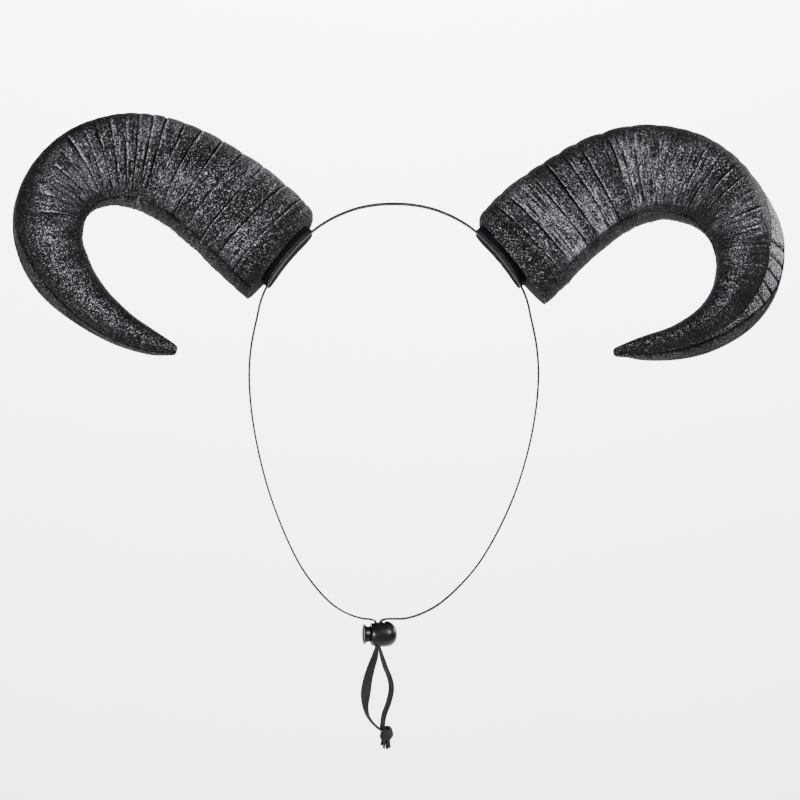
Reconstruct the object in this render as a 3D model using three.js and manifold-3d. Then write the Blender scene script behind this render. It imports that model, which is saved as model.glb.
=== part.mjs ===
// Ox horn headband: two curled, ribbed foam horns on one flat elastic strap, which
// makes a loop over the crown and under the chin, and is drawn in by a cord lock.
// Millimetres, +Z up, +X to the wearer's left, the front faces -Y.
// The origin is the middle of the strap's inner face at the crown.
import * as THREE from 'three';
import { mergeVertices } from 'three/addons/utils/BufferGeometryUtils.js';
import Module from 'manifold-3d';

const wasm = await Module();
wasm.setup();

// Elastic strap
const strapWidth = 6;
const strapThickness = 1.2;
const loopHalfWidth = 80.4; // strap's middle line at the cheeks
const loopHeight = 232.6; // along the loop's own plane, from the crown to the chin
const loopTilt = 8; // degrees, the chin end comes forward
const chinAside = -5.6; // the chin end hangs a little to one side, with the lock
const tailDrop = 43.5; // from the lock down to the top of the knot
const gap = 0.3; // between pieces that touch

// Horns
const hornLength = 274; // along the middle line
const hornWidth = 60; // at the base, from the outer to the inner edge
const hornFront = 23; // depth at the base, from the mould seam forward
const hornBack = 21; // depth at the base, from the mould seam backward
const tipForward = 9; // how far the tip leans out of the curl's plane
const grooveDepth = 1.3; // of the grooves between the ribs, near the base
const grooveWidth = 3;
const ribSwell = 0.2; // rise of a wide rib's middle, as a share of its groove's depth
const outerRoundness = 2.3; // power of the section's curve on the outer side, 2 is round
const innerRoundness = 2.25;
const squareGain = 1.6; // added to the outer power where the table says square is 1

// Seats of the horns' flat bases, one on each side
const seatAcross = 61.2; // middle of the base
const seatDrop = 29; // below the strap's middle line at the crown
const seatSlope = 39; // degrees from the horizontal to the seat's outward direction

// Pads between the horns and the head, with the strap let into their inner faces
const padLength = 39;
const padDepth = 33;
const padThickness = 2.3; // in the middle
const padHollowRadius = 118; // of the face toward the head
const padCornerRadius = 9;
const padOverrun = 1; // how far the strap still follows the hollow past a pad's ends

// Cord lock
const barrelLength = 14.7;
const barrelDiameter = 14.4;
const barrelEndDiameter = 10.8; // flat end that the plunger goes into
const plungerDiameter = 8.4;
const plungerTravel = 2.5;
const flangeDiameter = 11.2;
const flangeThickness = 1.2;
const neckDiameter = 9.6; // of the plunger next to its flange, from where it tapers
const neckLength = 2.5;
const plungerEdge = 0.5; // bevel round both ends of the plunger
const plungerEndWall = 1.8; // solid end of the plunger past its slot
const lockClearance = 0.3; // round the plunger and past its end
const slotClearance = 0.4; // round the two strands in the lock
const strandSpacing = 1.5; // between the middle lines of the two strands
const mouthDepth = 3.6; // of the slot's funnel-shaped upper mouth
const mouthFlare = 4; // of the mouth on each side
const strandBend = 3.2; // radius of the strap over the mouth
const strandEase = 0.3; // share of that radius at which the bend's middle point lies
const turnHeight = 30; // over which the strap turns from the loop's plane to the lock's
const lockShift = -3.2; // from the barrel's middle to the slot's middle
const lockYaw = 8; // degrees, the plunger's end comes forward

// Knot
const knotDiameter = 8;
const knotAside = 4.3; // from the slot's middle
const cutEndLength = 5;
const cutEndRoot = 1.5; // length of each cut end that is hidden in the knot

// A horn's form along its length. The two soft horns curl a little differently, so
// each has its own turn in degrees. Outer and inner are shares of half the base
// width, front and back of the two base depths, square is how boxy the outer side is.
const hornSections = [
  { share: 0.0, left: 0, right: 0, outer: 0.88, inner: 1.07, front: 0.8, back: 0.84, square: 0.3 },
  { share: 0.012, left: -1, right: -1, outer: 0.98, inner: 1.07, front: 0.92, back: 0.94, square: 0.3 },
  { share: 0.04, left: -3, right: -3, outer: 1.03, inner: 1.06, front: 1.0, back: 1.0, square: 0.35 },
  { share: 0.105, left: -2, right: -2, outer: 1.02, inner: 1.02, front: 1.03, back: 1.02, square: 0.4 },
  { share: 0.205, left: 5, right: 7, outer: 0.97, inner: 0.96, front: 1.02, back: 1.0, square: 0.5 },
  { share: 0.31, left: 21, right: 27, outer: 0.94, inner: 0.885, front: 0.97, back: 0.97, square: 0.6 },
  { share: 0.41, left: 49, right: 57, outer: 0.86, inner: 0.8, front: 0.91, back: 0.92, square: 0.75 },
  { share: 0.515, left: 86, right: 86, outer: 0.73, inner: 0.69, front: 0.85, back: 0.86, square: 0.9 },
  { share: 0.615, left: 129, right: 120, outer: 0.68, inner: 0.64, front: 0.76, back: 0.78, square: 1.0 },
  { share: 0.72, left: 161, right: 155, outer: 0.585, inner: 0.535, front: 0.66, back: 0.66, square: 1.0 },
  { share: 0.82, left: 176, right: 185, outer: 0.43, inner: 0.385, front: 0.53, back: 0.52, square: 0.85 },
  { share: 0.92, left: 191, right: 207, outer: 0.285, inner: 0.28, front: 0.36, back: 0.35, square: 0.6 },
  { share: 0.97, left: 199, right: 212, outer: 0.21, inner: 0.2, front: 0.25, back: 0.24, square: 0.3 },
  { share: 1.0, left: 200, right: 208, outer: 0.12, inner: 0.13, front: 0.16, back: 0.15, square: 0.1 },
];

// Blunt nub that each tip ends in, past the horn's length: how far along the nub
// a ring lies, and how much of the tip's section is left there
const nubLengths = { left: 3, right: 6 };
const nubSections = [
  { way: 0.4, size: 0.86 },
  { way: 0.8, size: 0.7 },
  { way: 1.0, size: 0.36 },
];

// Places of the grooves between the ribs along each horn, and how much of the
// grooves' depth is left toward the smooth tip
const grooveShares = {
  left: [
    0.048, 0.091, 0.144, 0.189, 0.23, 0.269, 0.299, 0.324, 0.346, 0.367, 0.388, 0.41, 0.432,
    0.454, 0.476, 0.498, 0.52, 0.545, 0.575, 0.61, 0.65,
  ],
  right: [
    0.05, 0.08, 0.139, 0.169, 0.205, 0.24, 0.282, 0.322, 0.36, 0.385, 0.412, 0.439, 0.466, 0.49,
    0.515, 0.542, 0.57, 0.6, 0.635, 0.67, 0.705,
  ],
};
const grooveFade = [
  { share: 0.0, depth: 0.9 },
  { share: 0.3, depth: 1.0 },
  { share: 0.45, depth: 0.75 },
  { share: 0.6, depth: 0.5 },
  { share: 0.72, depth: 0.2 },
  { share: 1.0, depth: 0 },
];

// Half of the strap's loop, above and below the seat. Across is a share of the
// loop's half width, down a share of its height.
const crownRoute = [
  { across: 0.0, down: 0.0 },
  { across: 0.13, down: 0.0025 },
  { across: 0.26, down: 0.0115 },
  { across: 0.38, down: 0.027 },
  { across: 0.48, down: 0.0455 },
];
const cheekRoute = [
  { across: 0.922, down: 0.235 },
  { across: 0.951, down: 0.28 },
  { across: 0.987, down: 0.345 },
  { across: 1.0, down: 0.415 },
  { across: 0.98, down: 0.505 },
  { across: 0.925, down: 0.605 },
  { across: 0.833, down: 0.711 },
  { across: 0.697, down: 0.818 },
  { across: 0.573, down: 0.889 },
  { across: 0.388, down: 0.958 },
  { across: 0.27, down: 0.984 },
  { across: 0.15, down: 0.998 },
];

// How each horn sits on its seat: how far it is set down along the strap, and how
// many degrees it is rolled about its own base.
const placements = {
  left: { side: -1, slide: 1.2, roll: 11 },
  right: { side: 1, slide: 4.8, roll: 9 },
};

// The two hanging strands: sideways and forward from the lock, and the turn of the
// strap's flat face about its own length. Down is a share of the drop to the knot.
const strandRoutes = {
  left: [
    { down: 0.0, aside: 0, ahead: 0, twist: 0 },
    { down: 0.115, aside: -0.9, ahead: 0.3, twist: -12 },
    { down: 0.26, aside: -3, ahead: 0.9, twist: -32 },
    { down: 0.41, aside: -4.8, ahead: 1.3, twist: -48 },
    { down: 0.565, aside: -5.9, ahead: 1.4, twist: -62 },
    { down: 0.73, aside: -6.2, ahead: 1.1, twist: -30 },
    { down: 0.87, aside: -4.9, ahead: 0.6, twist: -2 },
    { down: 0.97, aside: -1.9, ahead: 0.3, twist: 4 },
    { down: 1.03, aside: 0.9, ahead: 0.2, twist: 6 },
  ],
  right: [
    { down: 0.0, aside: 0, ahead: 0, twist: 0 },
    { down: 0.14, aside: 1.7, ahead: -0.2, twist: -4 },
    { down: 0.26, aside: 3.4, ahead: -0.5, twist: -8 },
    { down: 0.41, aside: 5.9, ahead: -0.9, twist: -10 },
    { down: 0.54, aside: 6.6, ahead: -1, twist: -10 },
    { down: 0.7, aside: 5.2, ahead: -0.8, twist: -10 },
    { down: 0.86, aside: 2.7, ahead: -0.4, twist: -8 },
    { down: 1.0, aside: 1.7, ahead: 0, twist: 0 },
  ],
};

// The knot's core and the two turns round it: places and sizes are shares of its
// diameter, tilts are degrees
const knotWraps = [
  { aside: -0.05, rise: 0, wide: 0.72, deep: 0.8, high: 1.0, tiltX: 0, tiltY: 12 },
  { aside: 0.02, rise: 0.14, wide: 1.0, deep: 0.98, high: 0.5, tiltX: 0, tiltY: 28 },
  { aside: 0.08, rise: -0.16, wide: 0.98, deep: 0.94, high: 0.48, tiltX: 8, tiltY: 6 },
];

// The four cut edges under the knot: places are shares of the knot's diameter, lean
// is degrees, length is a share of the usual one
const cutEnds = [
  { aside: -0.24, ahead: 0.1, lean: -8, length: 0.75 },
  { aside: -0.06, ahead: -0.12, lean: -3, length: 0.95 },
  { aside: 0.14, ahead: 0.08, lean: 8, length: 1.05 },
  { aside: 0.3, ahead: -0.08, lean: 14, length: 0.9 },
];

const radians = THREE.MathUtils.degToRad;

// Value of one column of a table at a share of the way, on a smooth curve
function along(rows, key, column, place) {
  const last = rows.length - 1;
  let i = 0;
  while (i < last - 1 && place > rows[i + 1][key]) i += 1;
  const slope = (k) => {
    const a = rows[Math.max(k - 1, 0)];
    const b = rows[Math.min(k + 1, last)];
    return (b[column] - a[column]) / (b[key] - a[key]);
  };
  const start = rows[i];
  const end = rows[i + 1];
  const span = end[key] - start[key];
  const t = THREE.MathUtils.clamp((place - start[key]) / span, 0, 1);
  const t2 = t * t;
  const t3 = t2 * t;
  return (
    (2 * t3 - 3 * t2 + 1) * start[column] +
    (t3 - 2 * t2 + t) * span * slope(i) +
    (3 * t2 - 2 * t3) * end[column] +
    (t3 - t2) * span * slope(i + 1)
  );
}

// Closed solid through rings of points, with a fan over each end
function loft(rings) {
  const around = rings[0].length;
  const vertices = [];
  rings.flat().forEach((p) => vertices.push(p.x, p.y, p.z));
  const triangles = [];
  for (let i = 0; i < rings.length - 1; i += 1) {
    for (let j = 0; j < around; j += 1) {
      const a = i * around + j;
      const b = i * around + ((j + 1) % around);
      triangles.push([a, b, b + around], [a, b + around, a + around]);
    }
  }
  const addCap = (first, ring, flip) => {
    const middle = new THREE.Vector3();
    ring.forEach((p) => middle.addScaledVector(p, 1 / around));
    const centre = vertices.length / 3;
    vertices.push(middle.x, middle.y, middle.z);
    for (let j = 0; j < around; j += 1) {
      const a = first + j;
      const b = first + ((j + 1) % around);
      triangles.push(flip ? [centre, b, a] : [centre, a, b]);
    }
  };
  addCap(0, rings[0], true);
  addCap((rings.length - 1) * around, rings[rings.length - 1], false);
  return closedGeometry(vertices, triangles);
}

// Geometry whose triangles face outward, whichever way round they were listed
function closedGeometry(vertices, triangles) {
  const corner = (k) => new THREE.Vector3().fromArray(vertices, 3 * k);
  let volume = 0;
  triangles.forEach(([a, b, c]) => {
    volume += corner(a).dot(corner(b).cross(corner(c)));
  });
  const facing = volume < 0 ? triangles.map(([a, b, c]) => [a, c, b]) : triangles;
  const geometry = new THREE.BufferGeometry();
  geometry.setAttribute('position', new THREE.Float32BufferAttribute(vertices, 3));
  geometry.setIndex(facing.flat());
  return geometry;
}

function toSolid(geometry) {
  const plain = geometry.clone();
  plain.deleteAttribute('normal');
  plain.deleteAttribute('uv');
  const merged = mergeVertices(plain, 1e-4);
  return new wasm.Manifold(
    new wasm.Mesh({
      numProp: 3,
      vertProperties: new Float32Array(merged.attributes.position.array),
      triVerts: new Uint32Array(merged.index.array),
    }),
  );
}

function toGeometry(solid) {
  const mesh = solid.getMesh();
  const geometry = new THREE.BufferGeometry();
  geometry.setAttribute('position', new THREE.Float32BufferAttribute(mesh.vertProperties, 3));
  geometry.setIndex(Array.from(mesh.triVerts));
  return geometry;
}

// The loop's plane: across, up and front, tilted about X
const loopUp = new THREE.Vector3(0, Math.sin(radians(loopTilt)), Math.cos(radians(loopTilt)));
const loopFront = new THREE.Vector3(0, -loopUp.z, loopUp.y);
const inLoop = (across, up) => new THREE.Vector3(across, 0, 0).addScaledVector(loopUp, up);
const strapMiddle = strapThickness / 2; // the crown's middle line above the origin

// A seat's middle and its directions: out from the head, and up along the strap
function seatFrame(side) {
  const out = inLoop(side * Math.cos(radians(seatSlope)), Math.sin(radians(seatSlope)));
  const up = inLoop(-side * Math.sin(radians(seatSlope)), Math.cos(radians(seatSlope)));
  const middle = inLoop(side * seatAcross, strapMiddle - seatDrop);
  return { out, up, middle };
}

// The lock hangs upright under the chin end of the loop, turned a little about Z
const chinEnd = inLoop(chinAside, strapMiddle - loopHeight);
const barrelMiddle = new THREE.Vector3(
  chinEnd.x,
  chinEnd.y,
  chinEnd.z - strapThickness / 2 - gap - barrelDiameter / 2,
);
const lockAlong = new THREE.Vector3(Math.cos(radians(lockYaw)), Math.sin(radians(lockYaw)), 0);
const lockAcross = new THREE.Vector3(-lockAlong.y, lockAlong.x, 0);
const inLock = (along, z) =>
  new THREE.Vector3(barrelMiddle.x, barrelMiddle.y, z).addScaledVector(lockAlong, along);
const slotLength = strandSpacing + strapThickness + 2 * slotClearance;
const slotWidth = strapWidth + 2 * slotClearance;

// One side of the loop, from the crown over the seat and down into the lock
function halfLoop(side) {
  const seat = seatFrame(side);
  const drift = (row) => chinAside * row.down ** 5;
  const place = (row) =>
    inLoop(side * row.across * loopHalfWidth + drift(row), strapMiddle - row.down * loopHeight);
  const onSeat = (distance) => {
    const hollow = padHollowRadius - Math.sqrt(padHollowRadius ** 2 - distance ** 2);
    return seat.middle
      .clone()
      .addScaledVector(seat.up, distance)
      .addScaledVector(seat.out, strapThickness / 2 - gap - padThickness - hollow);
  };
  const reach = padLength / 2;
  const strand = lockShift + (side * strandSpacing) / 2;
  return [
    ...crownRoute.map(place),
    onSeat(reach + padOverrun),
    onSeat(reach / 2),
    onSeat(0),
    onSeat(-reach / 2),
    onSeat(-reach - padOverrun),
    ...cheekRoute.map(place),
    inLock(strand + side * strandBend, chinEnd.z),
    inLock(strand + side * strandBend * strandEase, chinEnd.z - strandBend * strandEase),
    inLock(strand, chinEnd.z - strandBend),
    inLock(strand, barrelMiddle.z + gap / 2),
  ];
}

// Flat strap along a route: its flat side runs along each step's side direction
function strap(points, sides) {
  const rings = points.map((point, i) => {
    const before = points[Math.max(i - 1, 0)];
    const after = points[Math.min(i + 1, points.length - 1)];
    const forward = after.clone().sub(before).normalize();
    const side = sides[i].clone().addScaledVector(forward, -sides[i].dot(forward)).normalize();
    const through = forward.clone().cross(side);
    return [
      [1, 1],
      [-1, 1],
      [-1, -1],
      [1, -1],
    ].map(([u, v]) =>
      point
        .clone()
        .addScaledVector(side, (u * strapWidth) / 2)
        .addScaledVector(through, (v * strapThickness) / 2),
    );
  });
  return loft(rings);
}

const paint = (color, roughness, metalness = 0) =>
  new THREE.MeshStandardMaterial({ color, roughness, metalness });

function named(name, geometry, material) {
  const mesh = new THREE.Mesh(geometry, material);
  mesh.name = name;
  return mesh;
}

// Shares along the horn where it has a ring: at each groove, its two lips and the
// middle of each wide rib, and on the rounded rim and the smooth end
function hornStations(hand) {
  const lip = grooveWidth / 2 / hornLength;
  const grooves = grooveShares[hand];
  const smooth = [0, 0.006, 0.018, 0.74, 0.78, 0.82, 0.86, 0.9, 0.935, 0.965, 0.985, 1];
  const stations = smooth.map((share) => ({ share, cut: 0, size: 1 }));
  nubSections.forEach(({ way, size }) => {
    stations.push({ share: 1 + (way * nubLengths[hand]) / hornLength, cut: 0, size });
  });
  grooves.forEach((share, k) => {
    const depth = grooveDepth * along(grooveFade, 'share', 'depth', share);
    stations.push({ share: share - lip, cut: 0, size: 1 });
    stations.push({ share, cut: depth, size: 1 });
    stations.push({ share: share + lip, cut: 0, size: 1 });
    const next = grooves[k + 1] ?? share;
    if (next - share > 5 * lip) {
      stations.push({ share: (share + next) / 2, cut: -ribSwell * depth, size: 1 });
    }
  });
  return stations.sort((a, b) => a.share - b.share);
}

// Middle line of a horn in the plane of its curl, stepped along its turn
function hornSpine(hand, share) {
  const steps = 240;
  let x = 0;
  let y = 0;
  for (let i = 0; i < steps; i += 1) {
    const turn = radians(along(hornSections, 'share', hand, ((i + 0.5) / steps) * share));
    x += (Math.cos(turn) * share * hornLength) / steps;
    y -= (Math.sin(turn) * share * hornLength) / steps;
  }
  return { x, y, turn: radians(along(hornSections, 'share', hand, share)) };
}

// Horn in its own frame: X out of the base, Y to the outer edge, Z forward on the
// right horn and backward on the left one
function hornGeometry(hand, side) {
  const around = 20;
  const rings = hornStations(hand).map(({ share, cut, size }) => {
    const at = (column) => along(hornSections, 'share', column, share);
    const spine = hornSpine(hand, share);
    const outer = (size * at('outer') * hornWidth) / 2;
    const inner = (size * at('inner') * hornWidth) / 2;
    const front = size * at('front') * hornFront;
    const back = size * at('back') * hornBack;
    const outerFullness = outerRoundness + squareGain * at('square');
    const lean = tipForward * share ** 3;
    return Array.from({ length: around }, (_, j) => {
      const angle = (2 * Math.PI * j) / around;
      const c = Math.cos(angle);
      const s = Math.sin(angle);
      const fullness = c > 0 ? outerFullness : innerRoundness;
      const reach = (Math.abs(c) ** fullness + Math.abs(s) ** fullness) ** (-1 / fullness);
      const v = c * reach * ((c > 0 ? outer : inner) - cut);
      const w = s * reach * ((s > 0 ? front : back) - cut) + lean;
      return new THREE.Vector3(
        spine.x + Math.sin(spine.turn) * v,
        spine.y + Math.cos(spine.turn) * v,
        side * w,
      );
    });
  });
  return loft(rings);
}

// A group whose X points out of the seat and whose Y runs up along the strap
function seatGroup(side) {
  const seat = seatFrame(side);
  const across = seat.out.clone().cross(seat.up);
  const group = new THREE.Group();
  group.quaternion.setFromRotationMatrix(
    new THREE.Matrix4().makeBasis(seat.out, seat.up, across),
  );
  group.position.copy(seat.middle);
  return group;
}

// Pad glued under a horn: flat toward the horn, hollow toward the head, with a
// channel in the hollow side that the strap runs through
function padGeometry() {
  const shape = new THREE.Shape();
  const x = padDepth / 2;
  const y = padLength / 2;
  const r = padCornerRadius;
  shape.moveTo(x - r, -y);
  shape.absarc(x - r, -y + r, r, -Math.PI / 2, 0, false);
  shape.absarc(x - r, y - r, r, 0, Math.PI / 2, false);
  shape.absarc(-x + r, y - r, r, Math.PI / 2, Math.PI, false);
  shape.absarc(-x + r, -y + r, r, Math.PI, 1.5 * Math.PI, false);
  const block = new THREE.ExtrudeGeometry(shape, {
    depth: 3 * padThickness,
    bevelEnabled: false,
    curveSegments: 5,
  });
  block.translate(0, 0, -3 * padThickness);
  const round = (radius, width) => {
    const cylinder = new THREE.CylinderGeometry(radius, radius, width, 160, 1);
    cylinder.rotateZ(Math.PI / 2);
    cylinder.translate(0, 0, -padThickness - padHollowRadius);
    return toSolid(cylinder);
  };
  const hollow = round(padHollowRadius, 2 * padDepth);
  const channel = round(padHollowRadius + strapThickness + gap, strapWidth + 2 * gap);
  const geometry = toGeometry(toSolid(block).subtract(hollow).subtract(channel));
  geometry.rotateY(Math.PI / 2);
  return geometry;
}

// Prism along Z with a rectangular outline
function prism(x, y, z, length, width, height) {
  const geometry = new THREE.BoxGeometry(length, width, height);
  geometry.translate(x, y, z);
  return toSolid(geometry);
}

// Funnel-shaped mouth of the barrel's slot, wide end up
function slotMouth() {
  const half = slotLength / 2;
  const wide = half + mouthFlare;
  const shape = new THREE.Shape();
  const top = barrelDiameter / 2 + 1;
  const low = barrelDiameter / 2 - mouthDepth;
  shape.moveTo(-half, low);
  shape.lineTo(half, low);
  shape.lineTo(wide, top);
  shape.lineTo(-wide, top);
  const geometry = new THREE.ExtrudeGeometry(shape, { depth: slotWidth, bevelEnabled: false });
  geometry.translate(lockShift, 0, -slotWidth / 2);
  geometry.rotateX(Math.PI / 2);
  return toSolid(geometry);
}

// Solid turned about X through pairs of radius and place
function turned(profile) {
  const sides = 28;
  const geometry = new THREE.LatheGeometry(
    profile.map(([radius, place]) => new THREE.Vector2(radius, place)),
    sides,
  );
  geometry.rotateZ(-Math.PI / 2);
  return toSolid(geometry);
}

// Inner end of the plunger, from the barrel's middle
const plungerInnerEnd = lockShift + slotLength / 2 + plungerEndWall;

function barrelGeometry() {
  const half = barrelLength / 2;
  const radius = barrelDiameter / 2;
  const end = barrelEndDiameter / 2;
  const fullness = 2.35;
  const round = (share) => (1 - Math.abs(share) ** fullness) ** (1 / fullness);
  const profile = [[0, -half]];
  const steps = 7;
  for (let i = -steps; i <= steps; i += 1) {
    const share = Math.sin(((i / steps) * Math.PI) / 2);
    const least = share < 0 ? end : 0;
    profile.push([least + (radius - least) * round(share), half * share]);
  }
  const boreRadius = plungerDiameter / 2 + lockClearance;
  const boreEnd = plungerInnerEnd + plungerTravel + lockClearance;
  const mouthRadius = neckDiameter / 2 + lockClearance;
  const bore = turned([
    [0, -barrelLength],
    [mouthRadius, -barrelLength],
    [mouthRadius, -half - lockClearance],
    [boreRadius, neckLength - half - lockClearance],
    [boreRadius, boreEnd],
    [0, boreEnd],
  ]);
  return toGeometry(
    turned(profile)
      .subtract(bore)
      .subtract(prism(lockShift, 0, 0, slotLength, slotWidth, 2 * barrelDiameter))
      .subtract(slotMouth()),
  );
}

function plungerGeometry() {
  const radius = plungerDiameter / 2;
  const flange = flangeDiameter / 2;
  const outerEnd = -barrelLength / 2 - plungerTravel - lockClearance - flangeThickness;
  const neckStart = outerEnd + flangeThickness;
  const profile = [
    [0, outerEnd],
    [flange - plungerEdge, outerEnd],
    [flange, outerEnd + plungerEdge],
    [flange, neckStart],
    [neckDiameter / 2, neckStart],
    [radius, neckStart + neckLength],
    [radius, plungerInnerEnd - plungerEdge],
    [radius - plungerEdge, plungerInnerEnd],
    [0, plungerInnerEnd],
  ];
  const slot = prism(
    lockShift - plungerTravel / 2,
    0,
    0,
    slotLength + plungerTravel,
    slotWidth,
    2 * plungerDiameter,
  );
  return toGeometry(turned(profile).subtract(slot));
}

// One hanging strand, from the middle of the lock down to the knot
const lockBottom = barrelMiddle.z - barrelDiameter / 2;
const knotTop = lockBottom - tailDrop;
const knotMiddle = inLock(lockShift, knotTop - knotDiameter / 2);
knotMiddle.x += knotAside;

function strandGeometry(side, rows) {
  const start = inLock(lockShift + (side * strandSpacing) / 2, barrelMiddle.z - gap / 2);
  const steps = 28;
  const points = [start];
  const sides = [lockAcross];
  for (let i = 0; i <= steps; i += 1) {
    const down = (i / steps) * rows[rows.length - 1].down;
    const at = (column) => along(rows, 'down', column, down);
    const turn = radians(at('twist') - lockYaw);
    points.push(
      new THREE.Vector3(
        start.x + at('aside'),
        start.y - at('ahead'),
        lockBottom + (knotTop + gap - lockBottom) * down,
      ),
    );
    sides.push(new THREE.Vector3(Math.sin(turn), Math.cos(turn), 0));
  }
  return strap(points, sides);
}

// Ellipsoid, tilted about X and then about Y
function pebble({ aside, rise, wide, deep, high, tiltX, tiltY }) {
  const geometry = new THREE.SphereGeometry(knotDiameter / 2, 14, 10);
  geometry.scale(wide, deep, high);
  geometry.rotateX(radians(tiltX));
  geometry.rotateY(radians(tiltY));
  geometry.translate(aside * knotDiameter, 0, rise * knotDiameter);
  return toSolid(geometry);
}

// One of the strap's cut ends under the knot
function cutEnd({ aside, ahead, lean, length }) {
  const whole = cutEndLength * length + cutEndRoot;
  const geometry = new THREE.BoxGeometry(strapThickness, strapWidth / 3, whole);
  geometry.translate(0, 0, -whole / 2);
  geometry.rotateY(radians(-lean));
  geometry.translate(aside * knotDiameter, ahead * knotDiameter, cutEndRoot - knotDiameter / 2);
  return toSolid(geometry);
}

// Overhand knot of both strands, with their cut ends below it
function knotGeometry() {
  const pieces = [...knotWraps.map(pebble), ...cutEnds.map(cutEnd)];
  const geometry = toGeometry(pieces.reduce((knot, piece) => knot.add(piece)));
  geometry.translate(knotMiddle.x, knotMiddle.y, knotMiddle.z);
  return geometry;
}

function loopGeometry() {
  const right = halfLoop(1);
  const left = halfLoop(-1).slice(1).reverse();
  const curve = new THREE.CatmullRomCurve3([...left, ...right], false, 'centripetal');
  const steps = 120;
  const points = curve.getSpacedPoints(steps);
  const sides = points.map((point) => {
    const low = THREE.MathUtils.clamp(1 - (point.z - chinEnd.z) / turnHeight, 0, 1);
    return loopFront.clone().negate().lerp(lockAcross, low).normalize();
  });
  return strap(points, sides);
}

const foam = () => paint(0x17171a, 0.55);
const elastic = () => paint(0x0c0c0d, 0.85);
const plastic = () => paint(0x101011, 0.4);
const felt = () => paint(0x0a0a0b, 0.95);

const headband = new THREE.Group();
headband.add(named('elastic_loop', loopGeometry(), elastic()));

Object.entries(placements).forEach(([name, { side, slide, roll }]) => {
  const seat = seatGroup(side);
  const pad = named(`base_pad_${name}`, padGeometry(), felt());
  pad.position.x = -gap;
  seat.add(pad);
  const horn = named(`horn_${name}`, hornGeometry(name, side), foam());
  horn.position.y = -slide;
  horn.rotation.x = -side * radians(roll);
  seat.add(horn);
  headband.add(seat);
});

const barrel = named('lock_barrel', barrelGeometry(), plastic());
const plunger = named('lock_plunger', plungerGeometry(), plastic());
const lock = new THREE.Group();
lock.position.copy(barrelMiddle);
lock.rotation.z = radians(lockYaw);
lock.add(barrel, plunger);
headband.add(lock);
headband.add(named('tail_left', strandGeometry(-1, strandRoutes.left), elastic()));
headband.add(named('tail_right', strandGeometry(1, strandRoutes.right), elastic()));
headband.add(named('tail_knot', knotGeometry(), elastic()));

export default headband;
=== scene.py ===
"""Looks of the ox horn headband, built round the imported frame. Lengths are in
millimetres up to new_mesh(), which writes metres."""
import math

import bmesh
import bpy
import numpy as np
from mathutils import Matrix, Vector


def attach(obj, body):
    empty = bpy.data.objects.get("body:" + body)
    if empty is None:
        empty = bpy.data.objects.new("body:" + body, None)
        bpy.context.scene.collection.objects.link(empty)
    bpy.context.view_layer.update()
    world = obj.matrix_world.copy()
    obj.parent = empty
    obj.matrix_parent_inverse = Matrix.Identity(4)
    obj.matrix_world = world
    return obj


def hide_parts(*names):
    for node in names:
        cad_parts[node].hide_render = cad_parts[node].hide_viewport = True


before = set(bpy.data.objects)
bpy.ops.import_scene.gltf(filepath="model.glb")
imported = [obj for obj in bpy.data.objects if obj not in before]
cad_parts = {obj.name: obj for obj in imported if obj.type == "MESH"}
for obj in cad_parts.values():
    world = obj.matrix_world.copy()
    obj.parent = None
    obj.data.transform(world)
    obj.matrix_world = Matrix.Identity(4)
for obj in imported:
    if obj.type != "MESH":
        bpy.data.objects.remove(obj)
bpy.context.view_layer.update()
MM = 0.001
BODY = "headband"


def new_object(name, data):
    obj = bpy.data.objects.new(name, data)
    bpy.context.collection.objects.link(obj)
    return obj


# Camera at the photograph's distance and height, looking along +Y

PHOTO_WIDTH = 800
FOCAL_PIXELS = 3214
SENSOR = 36.0
CAMERA_PLACE = (0.00336, -1.8, -0.1092)
camera_data = bpy.data.cameras.new("camera")
camera_data.sensor_width = SENSOR
camera_data.lens = FOCAL_PIXELS / PHOTO_WIDTH * SENSOR
camera_data.clip_end = 50
camera = new_object("camera", camera_data)
camera.location = CAMERA_PLACE
camera.rotation_euler = (math.pi / 2, 0, 0)
bpy.context.scene.camera = camera


# The part's driving values, as in its source

STRAP_WIDTH = 6
STRAP_THICKNESS = 1.2
LOOP_HALF_WIDTH = 80.4
LOOP_HEIGHT = 232.6
LOOP_TILT = math.radians(8)
CHIN_ASIDE = -5.6
TAIL_DROP = 43.5
GAP = 0.3
HORN_LENGTH = 274
HORN_WIDTH = 60
HORN_FRONT = 23
HORN_BACK = 21
TIP_FORWARD = 9
OUTER_ROUNDNESS = 2.3
INNER_ROUNDNESS = 2.25
SQUARE_GAIN = 1.6
SEAT_ACROSS = 61.2
SEAT_DROP = 29
SEAT_SLOPE = math.radians(39)
PAD_LENGTH = 39
PAD_THICKNESS = 2.3
PAD_HOLLOW_RADIUS = 118
BARREL_LENGTH = 14.7
BARREL_DIAMETER = 14.4
BARREL_END_DIAMETER = 10.8
PLUNGER_DIAMETER = 8.4
PLUNGER_TRAVEL = 2.5
FLANGE_DIAMETER = 11.2
FLANGE_THICKNESS = 1.2
NECK_DIAMETER = 9.6
NECK_LENGTH = 2.5
PLUNGER_END_WALL = 1.8
LOCK_CLEARANCE = 0.3
SLOT_CLEARANCE = 0.4
STRAND_SPACING = 1.5
MOUTH_DEPTH = 3.6
MOUTH_FLARE = 4
STRAND_BEND = 3.2
TURN_HEIGHT = 30
LOCK_SHIFT = -3.2
LOCK_YAW = math.radians(8)
KNOT_DIAMETER = 8
KNOT_ASIDE = 4.3
CUT_END_LENGTH = 5

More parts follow.
